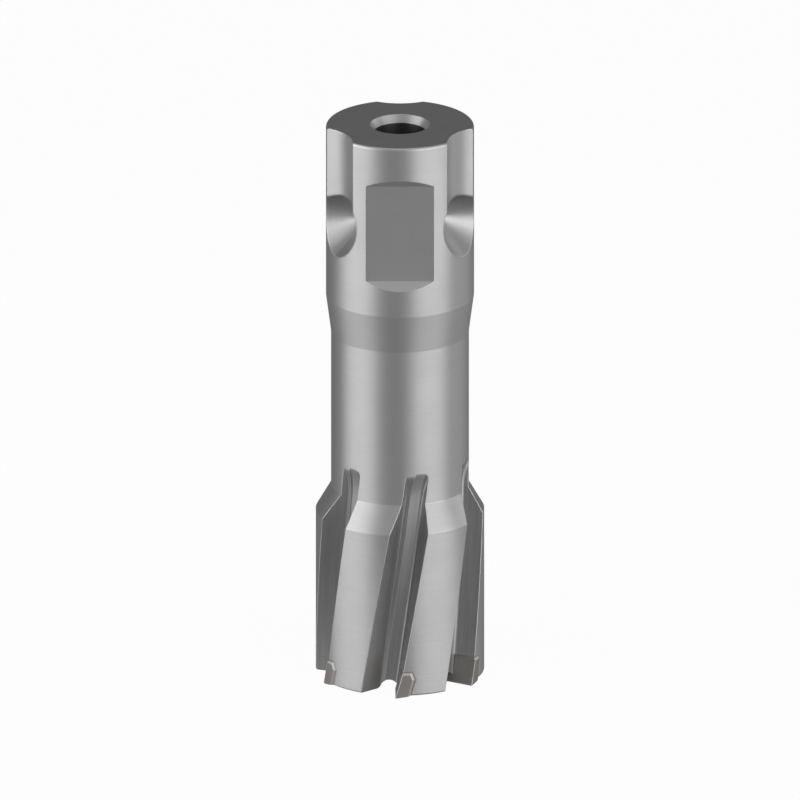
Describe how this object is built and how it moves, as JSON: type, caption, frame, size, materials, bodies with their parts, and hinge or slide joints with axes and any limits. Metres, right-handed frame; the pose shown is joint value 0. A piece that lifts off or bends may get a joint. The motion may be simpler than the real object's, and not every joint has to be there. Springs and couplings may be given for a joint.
{
  "type": "annular cutter",
  "caption": "Hollow core drill for metal: a shank with drive flats and cone seats, a pilot hole, helical stepped flutes and brazed carbide teeth that cut a ring.",
  "frame": {"origin": "on the cutter's axis, level with the lowest points of its cutting edges", "axes": "+Z along the axis, from the teeth to the shank; -Y is the front, where one drive flat faces; +X is to the right as seen from the front"},
  "size_m": [0.0216, 0.022, 0.0745],
  "materials": {
    "steel": "satin ground",
    "carbide": "fine ground cemented carbide",
    "braze": "dull, darkened by heat"
  },
  "bodies": {
    "root": {"cutter_body": "steel", "carbide_tip_1": "carbide", "carbide_tip_2": "carbide", "carbide_tip_3": "carbide", "carbide_tip_4": "carbide", "carbide_tip_5": "carbide", "carbide_tip_6": "carbide", "braze_seam_1": "braze", "braze_seam_2": "braze", "braze_seam_3": "braze", "braze_seam_4": "braze", "braze_seam_5": "braze", "braze_seam_6": "braze"}
  },
  "joints": []
}
